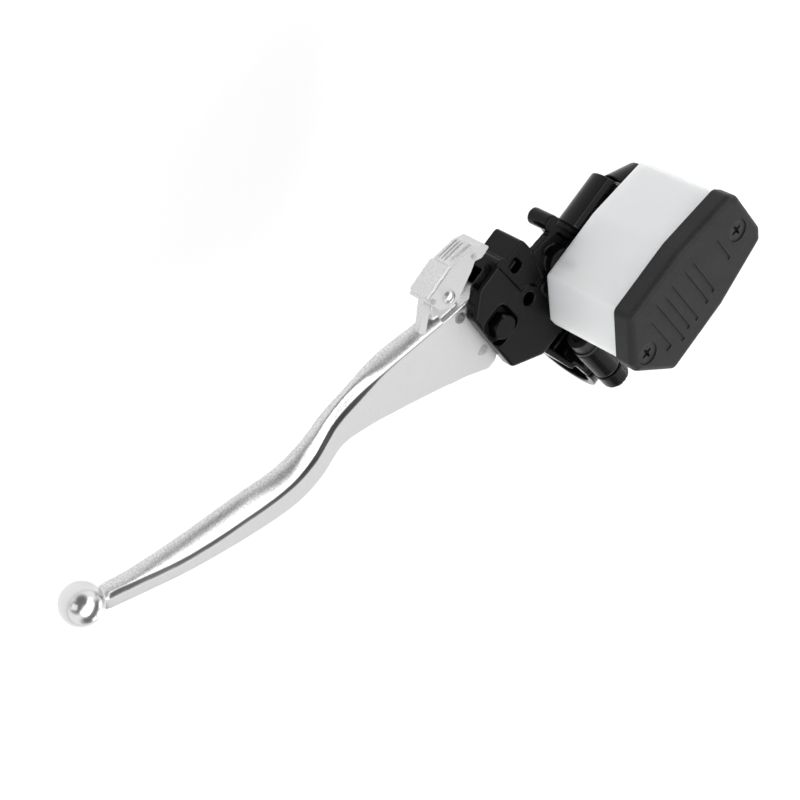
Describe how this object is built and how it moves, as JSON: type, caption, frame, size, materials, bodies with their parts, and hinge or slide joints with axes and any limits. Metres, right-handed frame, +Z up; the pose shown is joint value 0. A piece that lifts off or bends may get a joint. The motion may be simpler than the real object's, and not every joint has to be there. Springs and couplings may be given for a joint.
{
  "type": "brake master cylinder",
  "caption": "Handlebar hydraulic master cylinder with ball-ended lever, parking latch, clamp and plastic fluid reservoir under a screwed cap.",
  "frame": {"origin": "centre of the handlebar clamp bore", "axes": "+X along the handlebar towards the middle of the vehicle, +Y forward away from the rider, +Z up through the reservoir cap"},
  "size_m": [0.2443, 0.1474, 0.0838],
  "materials": {
    "body_black": "semi-gloss black powder coat over a die casting",
    "tank_plastic": "translucent milky polypropylene",
    "cap_plastic": "fine-grained matte black moulding",
    "black_screw": "black oxide steel",
    "zinc_steel": "bright zinc plate",
    "rubber": "smooth black rubber",
    "brass": "turned",
    "cast_aluminium": "tumbled bright casting",
    "piston_aluminium": "hard-anodised, turned"
  },
  "bodies": {
    "perch": {"body_casting": "body_black", "clamp_cap": "body_black", "clamp_washers": "black_screw", "clamp_bolts": "black_screw", "reservoir": "tank_plastic", "reservoir_seals": "rubber", "reservoir_screws": "zinc_steel", "baffle_plate": "zinc_steel", "diaphragm": "rubber", "diaphragm_plate": "zinc_steel", "reservoir_cap": "cap_plastic", "cap_screws": "black_screw", "return_spring": "zinc_steel", "spring_seat": "zinc_steel", "stop_washer": "zinc_steel", "retaining_ring": "zinc_steel", "dust_boot": "rubber", "pivot_bolt": "body_black", "pivot_nut": "zinc_steel"},
    "lever": {"lever": "cast_aluminium", "pivot_bush": "brass", "stop_pin": "zinc_steel", "latch_pin": "zinc_steel", "latch_spring": "black_screw"},
    "latch": {"latch": "cast_aluminium", "latch_rivets": "cast_aluminium"},
    "piston": {"piston": "piston_aluminium", "primary_cup": "rubber", "secondary_cup": "rubber"}
  },
  "joints": [
    {"name": "lever_pivot", "type": "hinge", "parent": "perch", "child": "lever", "pos_m": [-0.0166, 0.055, 0.0045], "axis": [0, 0, 1], "range_deg": [0, 20], "stiffness_Nm_per_rad": 0.35, "springref_deg": -17.19},
    {"name": "piston_slide", "type": "slide", "parent": "perch", "child": "piston", "axis": [1, 0, 0], "range_m": [0, 0.0053], "deforming": ["return_spring"]},
    {"name": "latch_pivot", "type": "hinge", "parent": "lever", "child": "latch", "pos_m": [-0.0224, 0.0838, 0.008], "axis": [0, 0, -1], "range_deg": [0, 15], "stiffness_Nm_per_rad": 0.02, "springref_deg": -22.92}
  ],
  "couplings": [
    {"joint": "piston_slide", "follows": "lever_pivot", "m_per_rad": 0.0149}
  ]
}
